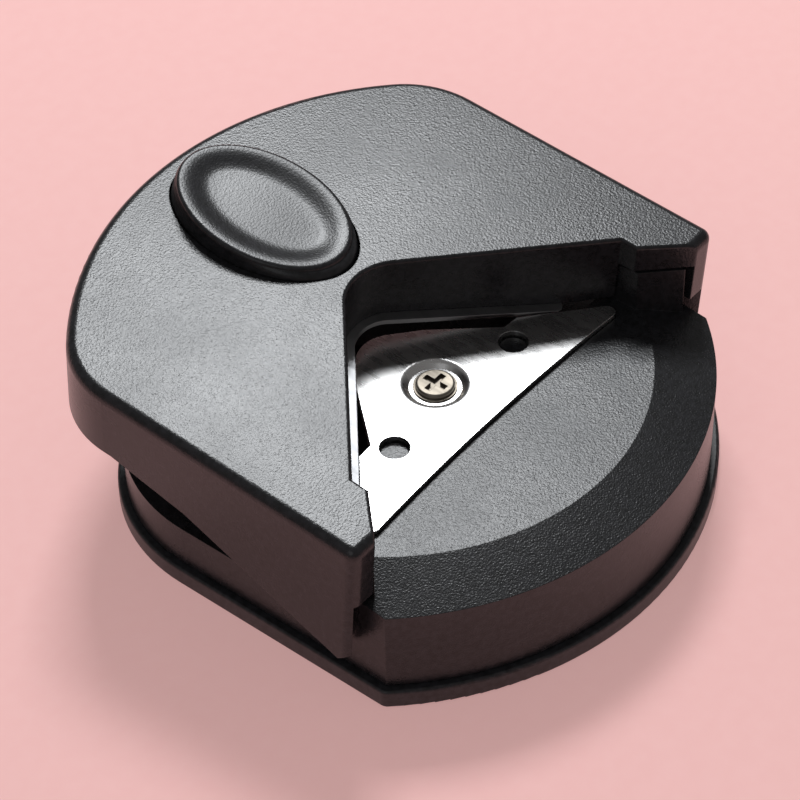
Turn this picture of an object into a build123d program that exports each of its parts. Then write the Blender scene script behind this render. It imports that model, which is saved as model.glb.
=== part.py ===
from build123d import *
from math import cos, radians, sin, tan
import os

# Desktop corner rounder for a 4 mm radius, in millimetres.
# +X is to the right seen from the front, +Y to the back, +Z up.
# The origin is under the middle of the object, on the surface it stands on.
# The press lever is modelled as it rests, lifted at the back by its springs.

# ---------------------------------------------------------------- driving dimensions
LENGTH = 65.6                 # front of the base rim to the back of the lever
LEVER_HALF_W = 30.0
BASE_HALF_W = 28.3
CORNER_R = 4.0                # radius cut on the paper

REAR_Y = LENGTH / 2
FRONT_Y = -LENGTH / 2

# base
RIM_TOP = 2.3                 # top of the protruding rim of the bottom cover
RIM_STEP = 0.9                # how far the rim stands out of the housing wall
SEAM = 0.15                   # gap between the cover and the housing above it
WALL = 1.8
BASE_CORNER_Y = -19.8         # where the straight flank meets the front arc
BASE_REAR_Y = REAR_Y - 4.0
REAR_ARC_Y = -12.4            # centre of the arc across the back
REAR_CORNER_R = 19.4          # blends that arc into the flanks
DECK_TOP = 7.5
DECK_T = 1.6
WALL_TOP = 12.2               # front wall, where the bevel starts
TABLE_TOP = 13.7              # flat paper table
TABLE_R = 28.1
TABLE_CENTRE_Y = 2.4
BLOCK_REAR_Y = -9.2           # back of the tall front block
BEVEL_FALL = 1.6              # a line this far under the wall's top, BEVEL_RUN outside it,
BEVEL_RUN = 8.0               # gives the slope of the bevel
CHUTE_APEX_Y = 17.5           # plan of the opening the cut corners fall through
CHUTE_HALF_W = 19.5

# hinge
PIVOT_Y = -12.7
PIVOT_Z = 13.9
PIN_R = 1.0
PIN_RUN = 0.05                # radial running clearance in the lever
REST_TILT = 3.66              # lever angle at rest, degrees
PIN_IN = 23.2
PIN_OUT = 29.2
POST_IN = 22.6                # inner and outer face of the hinge posts
POST_OUT = 26.2
POST_TOP = 18.85
POST_REAR_FALL = 8            # slope of the post's top behind the pin, degrees
POST_REAR = -10.2

# lever shell
SHELL = 2.0
LEVER_TOP = 22.6              # top plane when the lever is level
EAR_FRONT = -18.1
EAR_APEX_Y = 8.8              # the ears' 45 degree faces would meet here
EAR_CORNER = EAR_APEX_Y - EAR_FRONT
STEP_X = 22.3                 # where the mouth steps in to the ears
STEP_BACK_Y = -9.6            # the ears are open underneath from here forwards
LIP_BOTTOM = 19.2
LEVER_REAR_R = 39.4
LEVER_CORNER_R = 11.0
FRONT_CORNER_R = 1.2
SKIRT_FRONT_Z = 7.2           # lower edge of the skirt, from the front to the back
SKIRT_BENDS = ((-17.0, 7.2), (-15.4, 6.0), (4.3, 13.9), (14.0, 16.1))
SKIRT_REAR_Z = 17.0
EDGE = 1.1                    # rounding of the outer top edges
MOUTH_EDGE = 0.4              # rounding of the top edges round the mouth
EAR_PLAY = 0.3                # between the ears and the flanks of the base
BOSS_R = 2.4

# mouth, blade and die, seen from above: three V shapes, one inside the other
HALF_ANGLE = 49.0             # each leg from the Y axis
MOUTH_APEX_Y = 7.9            # sharp corner of the lever's mouth
MOUTH_R = 6.0
BLADE_OVERHANG = 0.7          # blade edge showing inside the mouth wall
SHEAR = 0.15                  # gap between the blade and the die
BLADE_BOTTOM = 14.7           # at BLADE_HIGH_Y, when the lever is level
BLADE_HIGH_Y = 5.0
BLADE_SLOPE = 6.0             # the blade falls towards its tips, degrees from the lever's top
BLADE_T = 0.6
BLADE_W = 7.4
BLADE_TIP_X = 17.2
DIE_TOP = 14.3
DIE_T = 1.5
DIE_FRONT_Y = -12.8
DIE_HOLLOW = 0.9              # how far the front edge curves back in its middle
DIE_SCREW_Y = -4.1
PEG_X = 10.0
PEG_Y = -6.7
PEG_HOLE_R = 1.65
PEG_R = 1.45
PEG_BELOW = 0.75              # top of the pegs under the top of the die
DISH_R = 3.5                  # round hollow the screw head sits in
DISH_FLOOR_R = 2.8
DISH_DEPTH = 0.55
DISH_ROUND = 0.9
DISH_FLOOR = DIE_TOP - DISH_DEPTH
SCREW_R = 1.25
HEAD_R = 2.1
HEAD_T = 0.5
WASHER_R = 2.35
WASHER_T = 0.2
NUT_TOP = 9.8
NUT_T = 2.0

# thumb pad: an oval button whose rim plane leans up to the back
PAD_Y = 19.4
PAD_A = 7.4
PAD_B = 11.6
PAD_SINK = 0.8
PAD_RISE = 2.1                # middle of the rim above the lever's top
PAD_TILT = 5.5
PAD_TOP_B = 10.6
PAD_RIM = 0.8                 # width of the rim round the hollow
PAD_SLOPE_W = 2.2             # width of the slope inside the rim
PAD_HOLLOW = 0.7

# springs
SPRING_X = 9.0
SPRING_Y = 21.5
SPRING_R = 3.4
SPRING_HOLE_R = 2.6
SPRING_TOP = 17.5
SEAT_PLAY = 0.3               # the spring's seats are this much slimmer than its bore
SEAT_H = 2.5

# stop hooks, one inside each flank
HOOK_X = 22.0
HOOK_T = 1.2
HOOK_TOE = 1.1
HOOK_Y = 2.0
HOOK_W = 5.0
HOOK_SLOT_PLAY = 0.3

# blade holder and its six small screws
HOLDER_T = 3.0
HOLDER_BOTTOM = BLADE_BOTTOM + BLADE_T
HOLDER_TOP = HOLDER_BOTTOM + HOLDER_T
HOLDER_PLAY = 0.8              # between the holder and the mouth wall
HOLDER_W = 11.2
HOLDER_HALF_W = 20.6
HOLDER_TIP_X = 16.0
HOLDER_REAR_Y = 20.4
BLADE_REAR_Y = 14.6
SMALL_SHANK_R = 0.9
SMALL_HEAD_R = 1.7
SMALL_HEAD_T = 1.0

V = radians(HALF_ANGLE)
SLOPE = 1 / tan(V)            # drop in y per mm of x along a leg
BLADE_APEX_Y = MOUTH_APEX_Y - BLADE_OVERHANG / sin(V)
DIE_APEX_Y = BLADE_APEX_Y - SHEAR / sin(V)
TOP_SLOPE = tan(radians(REST_TILT))
TOP_SHIFT = (LEVER_TOP - PIVOT_Z) * sin(radians(REST_TILT))

# ---------------------------------------------------------------- helpers


def prism(face, z0, z1):
    """A plan outline made solid between two heights."""
    return extrude(Pos(0, 0, z0) * face, z1 - z0)


def side_prism(points, half_width=60):
    """A closed outline in the YZ plane made solid across the whole width."""
    outline = Plane.YZ * make_face(Polyline(*points, close=True))
    return extrude(outline, half_width, both=True)


def rod(x, y, z0, z1, radius):
    """An upright cylinder."""
    return Pos(x, y, (z0 + z1) / 2) * Cylinder(radius, z1 - z0)


def block(x0, x1, y0, y1, z0, z1):
    """A box given by its corners."""
    centre = Pos((x0 + x1) / 2, (y0 + y1) / 2, (z0 + z1) / 2)
    return centre * Box(x1 - x0, y1 - y0, z1 - z0)


def tilt(shape):
    """Lifts a level lever piece to its rest angle about the hinge."""
    hinge = Pos(0, PIVOT_Y, PIVOT_Z)
    return hinge * Rot(REST_TILT, 0, 0) * hinge.inverse() * shape


def lever_prism(face, z0, z1):
    """A plan outline as it lies in the lever's top at rest, made solid square to that top."""
    return tilt(Pos(0, TOP_SHIFT, 0) * prism(face, z0, z1))


def blade_tilt(shape):
    """Leans a level piece to the blade's slope in the lever, then to the rest angle."""
    high = Pos(0, BLADE_HIGH_Y, BLADE_BOTTOM)
    return tilt(high * Rot(BLADE_SLOPE, 0, 0) * high.inverse() * shape)


def leg_point(apex_y, along_x, out=0.0, side=1):
    """A point beside a leg of the V: its x along the leg, then outwards."""
    x = along_x + out * cos(V)
    y = apex_y - SLOPE * along_x + out * sin(V)
    return (side * x, y)


def rest_top(y, below=0.0):
    """Height of the lever's top plane at rest, or of a plane below it."""
    rise = (y - PIVOT_Y) * TOP_SLOPE
    return PIVOT_Z + rise + (LEVER_TOP - below - PIVOT_Z) / cos(radians(REST_TILT))


def wedge_under_top(below, bottom=-5.0):
    """Everything under the lever's sloped top plane, or a plane below it."""
    y0, y1 = FRONT_Y - 10, REAR_Y + 10
    corners = [(y0, bottom), (y1, bottom), (y1, rest_top(y1, below)), (y0, rest_top(y0, below))]
    return side_prism(corners)


def under_blade_plane(z):
    """Everything under a plane parallel to the blade, given by its level height."""
    return blade_tilt(block(-60, 60, -60, 60, z - 60, z))


def mirrored(half):
    """A right-hand piece and its left-hand twin as one shape."""
    return half + mirror(half, Plane.YZ)


def write(name, shape):
    """Writes one sub-part to its own STEP file."""
    shape.label = name
    export_step(shape, f"parts/{name}.step")


# ---------------------------------------------------------------- outlines


def base_outline(inset=0.0):
    """Straight flanks, a front arc and a rounder back."""
    half_w = BASE_HALF_W
    rise = BASE_CORNER_Y - FRONT_Y
    front_r = (half_w ** 2 + rise ** 2) / (2 * rise)
    rear_r = BASE_REAR_Y - REAR_ARC_Y
    outline = Rectangle(2 * half_w, 4 * half_w)
    outline &= Pos(0, FRONT_Y + front_r) * Circle(front_r)
    outline &= Pos(0, REAR_ARC_Y) * Circle(rear_r)
    corners = outline.vertices().sort_by(Axis.Y)
    outline = fillet(corners[2:], REAR_CORNER_R)
    outline = fillet(outline.vertices().sort_by(Axis.Y)[:2], 1.2)
    return outline if inset == 0 else offset(outline, -inset)


def mouth_outline(grow=0.0):
    """The V cut into the lever, stepped in at the ears."""
    half = [leg_point(MOUTH_APEX_Y, STEP_X), (STEP_X, EAR_APEX_Y - STEP_X)]
    half += [(EAR_CORNER, EAR_FRONT), (EAR_CORNER + 10, EAR_FRONT - 10)]
    left = [(-x, y) for x, y in reversed(half)]
    outline = make_face(Polyline((0, MOUTH_APEX_Y), *half, *left, close=True))
    apex = outline.vertices().sort_by(Axis.Y)[-1]
    outline = fillet(apex, MOUTH_R)
    return outline if grow == 0 else offset(outline, grow)


def lever_outline():
    """Plan of the press lever before its mouth is cut."""
    reach = REAR_Y + 10
    outline = Pos(0, (EAR_FRONT + reach) / 2) * Rectangle(2 * LEVER_HALF_W, reach - EAR_FRONT)
    outline &= Pos(0, REAR_Y - LEVER_REAR_R) * Circle(LEVER_REAR_R)
    outline = fillet(outline.vertices().sort_by(Axis.Y)[2:], LEVER_CORNER_R)
    return fillet(outline.vertices().sort_by(Axis.Y)[:2], FRONT_CORNER_R)


def v_band(apex_y, inner, outer, tip_x, rear_y):
    """A flat V between two offsets from a leg line, cut square at its tips."""
    right = [leg_point(apex_y, tip_x, inner), leg_point(apex_y, tip_x, outer)]
    top = apex_y + outer / sin(V)
    left = [(-x, y) for x, y in reversed(right)]
    band = make_face(Polyline((0, apex_y + inner / sin(V)), *right, (0, top), *left, close=True))
    return band & Pos(0, rear_y - 50) * Rectangle(100, 100)


def die_outline(grow=0.0):
    """The triangular die: a rounded corner, two legs and a hollow front edge."""
    tip_x = (DIE_APEX_Y - DIE_FRONT_Y) / SLOPE
    legs = Polyline((-tip_x, DIE_FRONT_Y), (0, DIE_APEX_Y), (tip_x, DIE_FRONT_Y))
    front = ThreePointArc((tip_x, DIE_FRONT_Y), (0, DIE_FRONT_Y + DIE_HOLLOW), (-tip_x, DIE_FRONT_Y))
    outline = make_face(legs.edges() + [front])
    by_y = outline.vertices().sort_by(Axis.Y)
    outline = fillet(by_y[-1], CORNER_R)
    tips = outline.vertices().sort_by(Axis.Y)[:2]
    outline = fillet(tips, 0.9)
    if grow:
        return offset(outline, grow)
    notch = [leg_point(DIE_APEX_Y, 5.6), leg_point(DIE_APEX_Y, 12.0, -1.2), leg_point(DIE_APEX_Y, 13.2)]
    notch += [leg_point(DIE_APEX_Y, 13.2, 1), leg_point(DIE_APEX_Y, 5.6, 1)]
    cut = make_face(Polyline(*notch, close=True))
    return outline - cut - mirror(cut, Plane.YZ)


def domed_front(below=0.0):
    """The paper table with its bevel, as a solid of revolution."""
    edge_r = -FRONT_Y + TABLE_CENTRE_Y
    top = TABLE_TOP - below
    rim = WALL_TOP - below
    outer_r = edge_r + BEVEL_RUN
    corners = [(0, -5), (outer_r, -5), (outer_r, rim - BEVEL_FALL), (TABLE_R, top), (0, top)]
    profile = make_face(Polyline(*corners, close=True))
    return Pos(0, TABLE_CENTRE_Y, 0) * revolve(Plane.XZ * profile, Axis.Z)


# ---------------------------------------------------------------- base pieces


def make_bottom_cover():
    cover = prism(base_outline(), 0, RIM_TOP)
    cover = fillet(cover.faces().sort_by(Axis.Z)[0].edges(), 0.3)
    cover = fillet(cover.faces().sort_by(Axis.Z)[-1].edges(), 0.35)
    inside = RIM_STEP + WALL + 0.2
    cover -= prism(base_outline(inside), 1.2, RIM_TOP + 1)
    lip = base_outline(inside) - base_outline(inside + 1.2)
    return cover + prism(lip, 1.1, 4.6)


def make_post():
    """A hinge post: its 45 degree inner face stands just behind the ear's."""
    apex_y = EAR_APEX_Y + 0.2
    front = apex_y - POST_OUT
    plan = [(POST_OUT, front), (POST_OUT, POST_REAR), (POST_IN, POST_REAR), (POST_IN, apex_y - POST_IN)]
    rear_top = POST_TOP - (POST_REAR - PIVOT_Y) * tan(radians(POST_REAR_FALL))
    profile = [(front, 8), (front, POST_TOP), (PIVOT_Y, POST_TOP), (POST_REAR, rear_top), (POST_REAR, 8)]
    return prism(make_face(Polyline(*plan, close=True)), 8, 30) & side_prism(profile)


def make_housing():
    outer = base_outline(RIM_STEP)
    inner = base_outline(RIM_STEP + WALL)
    front_half = block(-60, 60, -60, BLOCK_REAR_Y, -5, 40)
    bottom = RIM_TOP + SEAM
    # low rear part with a deck, tall front part under the paper table
    housing = prism(outer, bottom, DECK_TOP) + (prism(outer, bottom, 20) & domed_front() & front_half)
    housing -= prism(inner, 0, DECK_TOP - DECK_T)
    housing -= prism(inner, 0, 20) & domed_front(WALL) & block(-60, 60, -60, BLOCK_REAR_Y - WALL, -5, 40)
    # pedestal that carries the die, and the chip chute around it
    chute = [(0, CHUTE_APEX_Y), (CHUTE_HALF_W, BLOCK_REAR_Y), (-CHUTE_HALF_W, BLOCK_REAR_Y)]
    housing -= prism(make_face(Polyline(*chute, close=True)), 0, DECK_TOP + 1)
    pedestal = offset(die_outline(0.01), -1.4)
    housing += prism(pedestal, DECK_TOP - DECK_T, DIE_TOP - DIE_T)
    housing += mirrored(make_post())
    # pocket for the die, pegs that locate it, screw and nut
    housing -= prism(die_outline(0.1), DIE_TOP - DIE_T, DIE_TOP + 0.2)
    housing += mirrored(rod(PEG_X, PEG_Y, DIE_TOP - DIE_T - 1, DIE_TOP - PEG_BELOW, PEG_R))
    housing -= rod(0, DIE_SCREW_Y, 0, 20, 1.45)
    nut_pocket = RegularPolygon(2.65, 6, major_radius=False)
    housing -= prism(Pos(0, DIE_SCREW_Y) * nut_pocket, 0, NUT_TOP)
    # hinge pins and spring pegs
    housing -= mirrored(pin_solid(PIN_R, PIN_IN, PIN_OUT))
    seat_r = SPRING_HOLE_R - SEAT_PLAY
    housing += mirrored(rod(SPRING_X, SPRING_Y, DECK_TOP - 1, DECK_TOP + SEAT_H, seat_r))
    # slots for the lever's stop hooks, longer at the front for their swing
    slot_x = HOOK_T / 2 + HOOK_SLOT_PLAY
    slot = block(HOOK_X - slot_x, HOOK_X + slot_x, HOOK_Y - 4.4, HOOK_Y + 3.0, 0, DECK_TOP + 1)
    return housing - mirrored(slot)


# ---------------------------------------------------------------- die group


def phillips(depth, span, width):
    """A cross recess cutter, its top at z = 0."""
    arm = Pos(0, 0, -depth / 2) * Box(span, width, depth)
    return arm + Rot(0, 0, 90) * arm


def make_die_plate():
    die = prism(die_outline(), DIE_TOP - DIE_T, DIE_TOP)
    dish = Pos(0, DIE_SCREW_Y, DIE_TOP - DISH_DEPTH / 2) * Cone(DISH_FLOOR_R, DISH_R, DISH_DEPTH)
    die -= dish
    rims = die.edges().filter_by(GeomType.CIRCLE).group_by(Axis.Z)[-1]
    die = fillet(rims.filter_by(lambda edge: abs(edge.radius - DISH_R) < 0.01), DISH_ROUND)
    die -= rod(0, DIE_SCREW_Y, 10, 16, 1.4)
    for side in (-1, 1):
        die -= rod(side * PEG_X, PEG_Y, 10, 16, PEG_HOLE_R)
    return die


def make_die_screw():
    head_bottom = DISH_FLOOR + WASHER_T
    head = rod(0, 0, head_bottom, head_bottom + HEAD_T, HEAD_R)
    head = fillet(head.faces().sort_by(Axis.Z)[-1].edges(), 0.3)
    head -= Pos(0, 0, head_bottom + HEAD_T) * phillips(0.45, 2.8, 0.7)
    shank = rod(0, 0, NUT_TOP - NUT_T - 0.4, head_bottom, SCREW_R)
    return Pos(0, DIE_SCREW_Y, 0) * (head + shank)


def make_die_washer():
    ring = rod(0, 0, DISH_FLOOR, DISH_FLOOR + WASHER_T, WASHER_R) - rod(0, 0, 0, 20, 1.35)
    return Pos(0, DIE_SCREW_Y, 0) * ring


def make_die_nut():
    hexagon = RegularPolygon(2.5, 6, major_radius=False)
    nut = prism(hexagon, NUT_TOP - NUT_T, NUT_TOP) - rod(0, 0, 0, 20, SCREW_R)
    return Pos(0, DIE_SCREW_Y, 0) * nut


# ---------------------------------------------------------------- hinge and springs


def pin_solid(radius, x0, x1):
    """A cylinder on the hinge axis."""
    along_x = Pos((x0 + x1) / 2, PIVOT_Y, PIVOT_Z) * Rot(0, 90, 0)
    return along_x * Cylinder(radius, x1 - x0)


def make_spring():
    """The space one return spring fills, as a tube between its two seats."""
    return rod(SPRING_X, SPRING_Y, DECK_TOP, SPRING_TOP, SPRING_R) - rod(
        SPRING_X, SPRING_Y, 0, 30, SPRING_HOLE_R
    )


# ---------------------------------------------------------------- lever pieces
BLADE_SCREW_OUT = 5.4
BLADE_SCREWS = {
    "rear": (0, 12.0),
    "left": leg_point(BLADE_APEX_Y, 12.0, BLADE_SCREW_OUT, -1),
    "right": leg_point(BLADE_APEX_Y, 12.0, BLADE_SCREW_OUT, 1),
}
HOLDER_SCREWS = {
    "rear": (0, 17.2),
    "left": leg_point(BLADE_APEX_Y, 9.0, 10.2, -1),
    "right": leg_point(BLADE_APEX_Y, 9.0, 10.2, 1),
}


def beside_mouth(edge):
    """Whether a top edge of the lever borders the mouth."""
    middle = edge @ 0.5
    return abs(middle.X) < EAR_CORNER and EAR_FRONT + 0.1 < middle.Y < MOUTH_APEX_Y


def make_lever_block():
    """The lever's outside: wide rounding along the outer edges, narrow round the mouth."""
    solid = lever_prism(lever_outline(), -5, LEVER_TOP)
    solid = fillet(solid.faces().sort_by(Axis.Z)[-1].edges(), EDGE)
    solid -= lever_prism(mouth_outline(), -10, LEVER_TOP + 5)
    top = solid.faces().filter_by(GeomType.PLANE).sort_by(Axis.Z)[-1]
    return fillet(top.edges().filter_by(beside_mouth), MOUTH_EDGE)


def make_lever_shell():
    skirt = [(EAR_FRONT - 5, SKIRT_FRONT_Z), *SKIRT_BENDS, (REAR_Y, SKIRT_REAR_Z)]
    skirt += [(REAR_Y + 5, SKIRT_REAR_Z), (REAR_Y + 5, 60), (EAR_FRONT - 5, 60)]
    shell = make_lever_block() & side_prism(skirt)
    cavity = offset(lever_outline() - mouth_outline(), -SHELL)
    shell -= lever_prism(cavity, -10, LEVER_TOP - SHELL)
    # the mouth wall ends on the blade, and the ears are open over the posts
    over_blade = under_blade_plane(BLADE_BOTTOM + BLADE_T + 0.05)
    over_blade += block(-60, 60, -60, BLOCK_REAR_Y + 0.8, -40, TABLE_TOP + 0.6)
    shell -= lever_prism(mouth_outline(SHELL + 0.05), -10, LEVER_TOP - SHELL) & over_blade
    shell -= mirrored(block(STEP_X, EAR_CORNER, EAR_FRONT - 5, STEP_BACK_Y, -2, LIP_BOTTOM))
    flank = BASE_HALF_W - RIM_STEP + EAR_PLAY
    shell -= mirrored(block(STEP_X, flank, EAR_FRONT - 5, STEP_BACK_Y, -2, TABLE_TOP + 0.4))
    # bosses, spring seats, pad recess and stop hooks
    for x, y in HOLDER_SCREWS.values():
        shell += blade_tilt(rod(x, y, HOLDER_TOP, LEVER_TOP, BOSS_R)) & wedge_under_top(SHELL / 2)
        shell -= blade_tilt(rod(x, y, HOLDER_BOTTOM, HOLDER_TOP + 1.6, SMALL_SHANK_R))
    seat_top = rest_top(SPRING_Y, SHELL / 2)
    shell += mirrored(rod(SPRING_X, SPRING_Y, SPRING_TOP, seat_top, SPRING_R + 0.4))
    seat_r = SPRING_HOLE_R - SEAT_PLAY
    shell += mirrored(rod(SPRING_X, SPRING_Y, SPRING_TOP - 2.0, SPRING_TOP + 1, seat_r))
    shell += mirrored(make_hook())
    shell -= tilt(prism(pad_outline(), LEVER_TOP - PAD_SINK, LEVER_TOP + 5))
    shell -= mirrored(pin_solid(PIN_R + PIN_RUN, LEVER_HALF_W - SHELL - 1, PIN_OUT + 0.1))
    return shell


def make_hook():
    """A stop hook that reaches through the deck and catches under it."""
    under_deck = DECK_TOP - DECK_T - 0.15
    inner, outer = HOOK_X - HOOK_T / 2, HOOK_X + HOOK_T / 2
    front, back = HOOK_Y - HOOK_W / 2, HOOK_Y + HOOK_W / 2
    bottom = under_deck - 1.1
    stem = block(inner, outer, front, back, bottom, rest_top(HOOK_Y, SHELL / 2))
    toe = block(outer - 0.1, outer + HOOK_TOE, front, back, bottom, under_deck)
    return stem + toe


def pad_outline():
    return Pos(0, PAD_Y) * Ellipse(PAD_A, PAD_B)


def pad_section(inset, depth=0.0):
    """An oval parallel to the leaning rim of the thumb pad."""
    plane = Pos(0, PAD_Y, LEVER_TOP + PAD_RISE) * Rot(PAD_TILT, 0, 0) * Pos(0, 0, -depth)
    return plane * Ellipse(PAD_A - inset, PAD_TOP_B - inset)


def make_thumb_pad():
    foot = Pos(0, 0, LEVER_TOP - PAD_SINK) * pad_outline()
    pad = loft([foot, pad_section(0.1)])
    pad = fillet(pad.faces().sort_by(Axis.Z)[-1].edges(), 0.4)
    pad -= loft([pad_section(PAD_RIM, -0.1), pad_section(PAD_RIM + PAD_SLOPE_W, PAD_HOLLOW)])
    return tilt(pad)


def make_blade():
    band = v_band(BLADE_APEX_Y, 0, BLADE_W, BLADE_TIP_X, BLADE_REAR_Y)
    inner_corner = band.vertices().sort_by_distance((0, BLADE_APEX_Y, 0))[0]
    band = fillet(inner_corner, CORNER_R + SHEAR)
    tips = band.vertices().sort_by(Axis.Y)[:2]
    band = fillet(tips, 0.8)
    blade = prism(band, BLADE_BOTTOM, BLADE_BOTTOM + BLADE_T)
    for x, y in BLADE_SCREWS.values():
        blade -= rod(x, y, 0, 30, SMALL_SHANK_R + 0.15)
    return blade_tilt(blade)


def make_holder():
    band = v_band(MOUTH_APEX_Y, SHELL + HOLDER_PLAY, HOLDER_W, HOLDER_TIP_X, HOLDER_REAR_Y)
    band &= Rectangle(2 * HOLDER_HALF_W, 60)
    holder = prism(band, HOLDER_BOTTOM, HOLDER_TOP)
    for x, y in BLADE_SCREWS.values():
        holder -= rod(x, y, 0, 30, SMALL_SHANK_R)
    for x, y in HOLDER_SCREWS.values():
        holder -= rod(x, y, 0, 30, SMALL_SHANK_R + 0.1)
    return blade_tilt(holder)


def make_small_screw(place, seat, length):
    """A pan head screw driven upwards, its head under the seat."""
    x, y = place
    head = rod(x, y, seat - SMALL_HEAD_T, seat, SMALL_HEAD_R)
    head = fillet(head.faces().sort_by(Axis.Z)[0].edges(), 0.4)
    head -= Pos(x, y, seat - SMALL_HEAD_T) * Rot(180, 0, 0) * phillips(0.6, 2.0, 0.55)
    return blade_tilt(head + rod(x, y, seat - 0.2, seat + length, SMALL_SHANK_R))


# ---------------------------------------------------------------- write everything
os.makedirs("parts", exist_ok=True)

write("bottom_cover", make_bottom_cover())
write("housing", make_housing())
write("die_plate", make_die_plate())
write("die_screw", make_die_screw())
write("die_screw_washer", make_die_washer())
write("die_screw_nut", make_die_nut())

for name, side in (("left", -1), ("right", 1)):
    pin = pin_solid(PIN_R, PIN_IN, PIN_OUT)
    spring = make_spring()
    write(f"{name}_hinge_pin", pin if side == 1 else mirror(pin, Plane.YZ))
    write(f"{name}_return_spring", spring if side == 1 else mirror(spring, Plane.YZ))

write("lever_shell", make_lever_shell())
write("thumb_pad", make_thumb_pad())
write("cutting_blade", make_blade())
write("blade_holder", make_holder())
for name, place in BLADE_SCREWS.items():
    write(f"blade_screw_{name}", make_small_screw(place, BLADE_BOTTOM, 3.6))
for name, place in HOLDER_SCREWS.items():
    write(f"holder_screw_{name}", make_small_screw(place, HOLDER_BOTTOM, 4.4))
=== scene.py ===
"""Looks of a desktop corner rounder: black moulded plastic, a steel die and blade, springs and a dished pad.

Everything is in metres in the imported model's frame: +X right, +Y to the back, +Z up, standing on z = 0.
"""

from math import cos, pi, radians, sin, tan

import bpy
from mathutils import Matrix, Vector


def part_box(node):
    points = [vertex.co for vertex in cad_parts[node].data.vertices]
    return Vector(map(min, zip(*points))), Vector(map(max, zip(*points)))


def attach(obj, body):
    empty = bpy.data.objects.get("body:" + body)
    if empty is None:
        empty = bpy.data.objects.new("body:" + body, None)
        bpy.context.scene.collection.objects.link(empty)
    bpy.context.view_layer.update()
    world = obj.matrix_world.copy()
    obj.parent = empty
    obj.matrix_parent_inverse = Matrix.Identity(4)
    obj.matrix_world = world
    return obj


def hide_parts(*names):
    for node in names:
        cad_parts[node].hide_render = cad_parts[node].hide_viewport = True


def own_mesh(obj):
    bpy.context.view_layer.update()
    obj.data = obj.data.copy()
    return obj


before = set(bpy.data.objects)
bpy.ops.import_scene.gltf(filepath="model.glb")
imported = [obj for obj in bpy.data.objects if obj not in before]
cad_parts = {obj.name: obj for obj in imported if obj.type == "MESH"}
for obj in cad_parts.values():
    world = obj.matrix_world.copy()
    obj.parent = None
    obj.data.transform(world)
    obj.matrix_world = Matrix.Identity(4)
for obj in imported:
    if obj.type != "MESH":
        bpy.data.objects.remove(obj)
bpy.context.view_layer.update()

MM = 0.001
REST_TILT = radians(3.66)      # the lever at rest, lifted at the back
PAD_LEAN = radians(5.5)        # the thumb pad's rim against the lever's top
GRAIN = 0.24 * MM              # spark-eroded texture of the mouldings


# ---------------------------------------------------------------- node helpers


def new_material(name, colour, roughness, metallic=0.0, specular=0.5):
    """A Principled material and its shader node."""
    material = bpy.data.materials.new(name)
    material.use_nodes = True
    shader = material.node_tree.nodes["Principled BSDF"]
    shader.inputs["Base Color"].default_value = (*colour, 1)
    shader.inputs["Roughness"].default_value = roughness
    shader.inputs["Metallic"].default_value = metallic
    shader.inputs["Specular IOR Level"].default_value = specular
    return material, shader


def add_node(material, kind, values=None):
    """A new shader node with some of its inputs set."""
    node = material.node_tree.nodes.new("ShaderNode" + kind)
    for name, value in (values or {}).items():
        node.inputs[name].default_value = value
    return node


def join(material, source, target):
    material.node_tree.links.new(source, target)


def noise(material, size, detail=2.0, stretch=(1, 1, 1)):
    """Noise with features about as large as size, stretched along an axis if asked."""
    place = add_node(material, "TexCoord")
    mapping = add_node(material, "Mapping", {"Scale": tuple(1 / (size * s) for s in stretch)})
    texture = add_node(material, "TexNoise", {"Scale": 1.0, "Detail": detail})
    join(material, place.outputs["Object"], mapping.inputs["Vector"])
    join(material, mapping.outputs["Vector"], texture.inputs["Vector"])
    return texture.outputs["Fac"]


def remap(material, value, low, high, start=0.35, end=0.65):
    """Spreads the middle of a noise over low to high."""
    node = add_node(material, "MapRange", {"From Min": start, "From Max": end, "To Min": low, "To Max": high})
    join(material, value, node.inputs["Value"])
    return node.outputs["Result"]


def mix_colour(material, factor, first, second):
    """A colour between two, by a factor."""
    node = material.node_tree.nodes.new("ShaderNodeMix")
    node.data_type = "RGBA"
    for name, colour in (("A", first), ("B", second)):
        socket = next(s for s in node.inputs if s.name == name and s.type == "RGBA")
        if isinstance(colour, tuple):
            socket.default_value = (*colour, 1)
        else:
            join(material, colour, socket)
    join(material, factor, node.inputs["Factor"])
    return next(s for s in node.outputs if s.type == "RGBA")


def bump(material, height, depth, normal=None):
    """A bump of the given depth, over another normal if there is one."""
    node = add_node(material, "Bump", {"Strength": 1.0, "Distance": depth})
    join(material, height, node.inputs["Height"])
    if normal is not None:
        join(material, normal, node.inputs["Normal"])
    return node.outputs["Normal"]


def rounded_edges(material, radius):
    """A normal that softens sharp corners."""
    node = add_node(material, "Bevel", {"Radius": radius})
    node.samples = 4
    return node.outputs["Normal"]


# ---------------------------------------------------------------- materials


def moulded_plastic(name, tone, roughness, grain_depth, grain=GRAIN, edge=0.12 * MM):
    """Black plastic from a textured mould, a little bluish, polished and dusty in patches."""
    material, shader = new_material(name, (tone, tone, tone * 1.15), roughness, specular=0.42)
    grain_height = noise(material, grain, detail=1.5)
    patches = noise(material, 9 * MM, detail=3)
    dust = noise(material, 0.7 * MM, detail=4)
    darker = (tone * 0.75, tone * 0.75, tone * 0.82)
    lighter = (tone * 1.5, tone * 1.5, tone * 1.7)
    colour = mix_colour(material, remap(material, dust, 0, 1), darker, lighter)
    join(material, colour, shader.inputs["Base Color"])
    polish = remap(material, patches, roughness - 0.01, roughness + 0.02)
    join(material, polish, shader.inputs["Roughness"])
    normal = bump(material, grain_height, grain_depth, rounded_edges(material, edge))
    join(material, normal, shader.inputs["Normal"])
    return material


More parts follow.
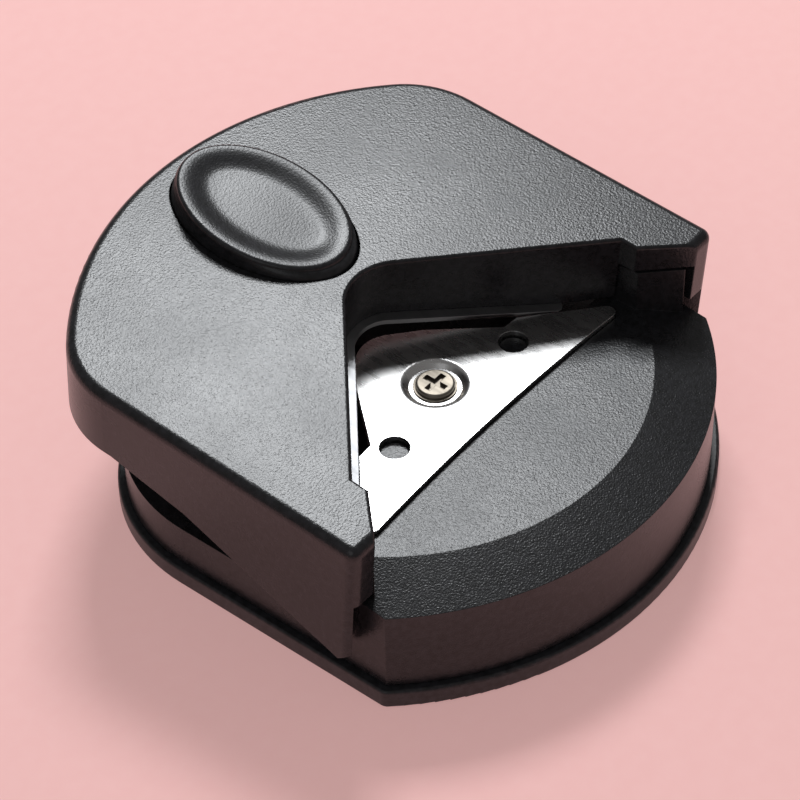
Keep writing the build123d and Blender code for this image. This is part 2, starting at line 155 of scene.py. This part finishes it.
def steel(name, colour, roughness, grain_depth, brushed=(1, 1, 1), edge=0.1 * MM):
    """Rolled or ground steel with fine grain, faint stains and rounded edges."""
    material, shader = new_material(name, colour, roughness, metallic=1.0)
    grain_height = noise(material, 0.16 * MM, detail=2, stretch=brushed)
    stains = noise(material, 4 * MM, detail=5)
    scuffs = noise(material, 0.5 * MM, detail=3, stretch=(1, 6, 1))
    dull = tuple(0.86 * c for c in colour)
    tint = mix_colour(material, remap(material, stains, 0, 1), colour, dull)
    join(material, tint, shader.inputs["Base Color"])
    wear = remap(material, scuffs, roughness - 0.03, roughness + 0.05)
    join(material, wear, shader.inputs["Roughness"])
    normal = bump(material, grain_height, grain_depth, rounded_edges(material, edge))
    join(material, normal, shader.inputs["Normal"])
    return material


# plastics: tone, roughness and depth of the grain; steels: colour, roughness and depth of the grain
FINISHES = {
    "lever_plastic": moulded_plastic("lever_plastic", 0.016, 0.26, 0.03 * MM),
    "pad_plastic": moulded_plastic("pad_plastic", 0.018, 0.28, 0.02 * MM),
    "housing_plastic": moulded_plastic("housing_plastic", 0.016, 0.27, 0.035 * MM, grain=0.2 * MM),
    "cover_plastic": moulded_plastic("cover_plastic", 0.024, 0.34, 0.008 * MM),
    "holder_plastic": moulded_plastic("holder_plastic", 0.02, 0.4, 0.01 * MM),
    "die_steel": steel("die_steel", (0.8, 0.79, 0.78), 0.27, 0.002 * MM),
    "blade_steel": steel("blade_steel", (0.42, 0.42, 0.43), 0.34, 0.002 * MM, brushed=(1, 4, 1)),
    "screw_nickel": steel("screw_nickel", (0.26, 0.23, 0.19), 0.42, 0.012 * MM, edge=0.08 * MM),
    "small_steel": steel("small_steel", (0.5, 0.49, 0.47), 0.3, 0.003 * MM, edge=0.06 * MM),
    "spring_steel": steel("spring_steel", (0.55, 0.55, 0.56), 0.25, 0.002 * MM, edge=0.04 * MM),
}


def finish_cad_nodes():
    """Gives each CAD node the finish that its material slot names."""
    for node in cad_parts.values():
        for slot in node.material_slots:
            slot.material = FINISHES[slot.material.name.split(".")[0]]


# ---------------------------------------------------------------- mesh helpers


def make_piece(name, points, faces, finish):
    """A smooth mesh object with a finish."""
    mesh = bpy.data.meshes.new(name)
    mesh.from_pydata(points, [], faces)
    mesh.shade_smooth()
    mesh.materials.append(FINISHES[finish])
    piece = bpy.data.objects.new(name, mesh)
    bpy.context.scene.collection.objects.link(piece)
    return piece


def bridge(count, sides):
    """Faces between count rings of sides points each, with a cap on the first ring and the last."""
    faces = []
    for i in range(count - 1):
        for k in range(sides):
            here, after = i * sides + k, i * sides + (k + 1) % sides
            faces.append((here, after, after + sides, here + sides))
    faces.append(tuple(reversed(range(sides))))
    faces.append(tuple(range((count - 1) * sides, count * sides)))
    return faces


# ---------------------------------------------------------------- thumb pad


def pad_rings(half_w, half_l):
    """Half width, half length, height and share of the lean of each ring, from the foot inwards."""
    height = 2.88 * MM
    shrink = 0.1 * MM          # the top is this much narrower on each side
    taper = 1.1 * MM           # and this much shorter at each end
    round_r = 0.45 * MM        # outer edge of the rim
    rim = 0.55 * MM
    slope = 3.2 * MM           # from the rim in to the floor of the hollow
    hollow = 0.5 * MM
    edge_steps, slope_steps = 5, 8
    rings = [(half_w - shrink * t, half_l - taper * t, height * t, t) for t in (0, 0.4, 0.8)]
    half_w -= shrink
    half_l -= taper
    profile = []
    for k in range(edge_steps + 1):
        turn = pi / 2 * k / edge_steps
        profile.append((round_r * (1 - cos(turn)), height - round_r * (1 - sin(turn))))
    for k in range(slope_steps + 1):
        share = k / slope_steps
        profile.append((rim + slope * share, height - hollow * (1 - cos(pi * share)) / 2))
    rings += [(half_w - inset, half_l - inset, z, 1) for inset, z in profile]
    floor_w, floor_l, floor_z, _ = rings[-1]
    rings += [(floor_w * share, floor_l * share, floor_z, 1) for share in (0.75, 0.5, 0.25, 0.05)]
    return rings


def make_thumb_pad():
    """An oval button with a round rim and a shallow hollow, its rim leaning up to the back."""
    low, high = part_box("thumb_pad")
    half_w = (high.x - low.x) / 2
    half_l = (high.y - low.y) / 2 / cos(REST_TILT)
    foot = Vector(((low.x + high.x) / 2, (low.y + high.y) / 2, low.z + half_l * sin(REST_TILT)))
    rings = pad_rings(half_w, half_l)
    sides = 160
    points = []
    for a, b, z, share in rings:
        for k in range(sides):
            turn = 2 * pi * k / sides
            along = b * sin(turn)
            points.append((a * cos(turn), along, z + along * share * tan(PAD_LEAN)))
    piece = make_piece("thumb_pad_dished", points, bridge(len(rings), sides), "pad_plastic")
    piece.data.transform(Matrix.Translation(foot) @ Matrix.Rotation(REST_TILT, 4, "X"))
    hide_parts("thumb_pad")
    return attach(piece, "lever")


# ---------------------------------------------------------------- return springs


def make_spring(side):
    """A compression spring with closed ends between the deck and the lever."""
    low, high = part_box(f"{side}_return_spring")
    centre = (low + high) / 2
    wire_r = 0.35 * MM
    radius = (high.x - low.x) / 2 - wire_r
    length = high.z - low.z
    turns = 6.5
    steps = 36                 # rings of points on each turn
    sides = 10
    end_share = 0.14           # part of the wire that makes each closed end
    end_rise = 2 * wire_r      # a closed end climbs by the wire's own thickness
    open_length = length - 2 * wire_r - 2 * end_rise
    count = int(turns * steps)
    points = []
    for i in range(count + 1):
        along = i / count
        start = min(along / end_share, 1)
        climb = min(max((along - end_share) / (1 - 2 * end_share), 0), 1)
        finish = max((along - 1 + end_share) / end_share, 0)
        z = low.z + wire_r + end_rise * (start + finish) + open_length * climb
        turn = 2 * pi * turns * along
        out = Vector((cos(turn), sin(turn), 0))
        middle = Vector((centre.x, centre.y, z)) + radius * out
        for k in range(sides):
            angle = 2 * pi * k / sides
            points.append(middle + wire_r * (cos(angle) * out + sin(angle) * Vector((0, 0, 1))))
    piece = make_piece(f"{side}_spring_coil", points, bridge(count + 1, sides), "spring_steel")
    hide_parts(f"{side}_return_spring")
    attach(piece, "base")
    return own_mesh(piece)


# ---------------------------------------------------------------- stage, light and camera


def make_floor():
    """A plain pale floor, large enough for every view. Its weak glow lightens the shadow on it."""
    half = 2.0                 # metres
    below = 0.02 * MM          # keeps it from sharing a plane with the object's underside
    glow = (1, 0.6, 0.58, 1)
    corners = [(-half, -half, 0), (half, -half, 0), (half, half, 0), (-half, half, 0)]
    mesh = bpy.data.meshes.new("floor")
    mesh.from_pydata(corners, [], [(0, 1, 2, 3)])
    material, shader = new_material("floor_paper", (0.85, 0.5, 0.48), 0.9, specular=0.1)
    fibre = remap(material, noise(material, 2 * MM, detail=4), 0, 1)
    colour = mix_colour(material, fibre, (0.84, 0.49, 0.47), (0.86, 0.51, 0.49))
    join(material, colour, shader.inputs["Base Color"])
    shader.inputs["Emission Color"].default_value = glow
    shader.inputs["Emission Strength"].default_value = 0.4
    mesh.materials.append(material)
    floor = bpy.data.objects.new("floor", mesh)
    floor.location.z = -below
    bpy.context.scene.collection.objects.link(floor)


def add_softbox(name, direction, distance, width, height, power):
    """A soft, slightly cool rectangular light that faces the object from a direction."""
    light = bpy.data.lights.new(name, "AREA")
    light.shape = "RECTANGLE"
    light.size = width
    light.size_y = height
    light.energy = power
    light.color = (0.95, 0.975, 1)
    lamp = bpy.data.objects.new(name, light)
    towards = Vector(direction).normalized()
    lamp.location = towards * distance
    lamp.rotation_mode = "QUATERNION"
    lamp.rotation_quaternion = towards.to_track_quat("Z", "Y")
    bpy.context.scene.collection.objects.link(lamp)


def light_scene():
    """A softbox behind on the right, a weak fill on the left, and a soft room."""
    add_softbox("key", (0.475, 0.40, 0.79), distance=0.6, width=0.17, height=0.14, power=1.8)
    add_softbox("fill", (-0.8, -0.2, 0.75), distance=0.9, width=0.5, height=0.5, power=0.4)
    world = bpy.data.worlds.new("room")
    world.use_nodes = True
    room = world.node_tree.nodes["Background"]
    room.inputs["Color"].default_value = (1, 0.98, 0.97, 1)
    room.inputs["Strength"].default_value = 0.17
    bpy.context.scene.world = world


def add_camera():
    """A long lens from the front left, looking down at the mouth."""
    azimuth = radians(-50.564)
    elevation = radians(44.26)
    roll = radians(-1.008)
    target = Vector((-4.07, -2.65, 14.1)) * MM
    distance = 319.4 * MM
    back = Vector((sin(azimuth) * cos(elevation), -cos(azimuth) * cos(elevation), sin(elevation)))
    right = Vector((cos(azimuth), sin(azimuth), 0))
    up = back.cross(right)
    level = Matrix((right, up, back)).transposed()
    data = bpy.data.cameras.new("camera")
    data.sensor_width = 36
    data.lens = 138.68
    data.clip_start = 0.01
    camera = bpy.data.objects.new("camera", data)
    place = level @ Matrix.Rotation(roll, 3, "Z")
    camera.matrix_world = Matrix.Translation(target + back * distance) @ place.to_4x4()
    bpy.context.scene.collection.objects.link(camera)
    bpy.context.scene.camera = camera


finish_cad_nodes()
make_thumb_pad()
for side in ("left", "right"):
    make_spring(side)
make_floor()
light_scene()
add_camera()
bpy.context.scene.view_settings.view_transform = "Standard"
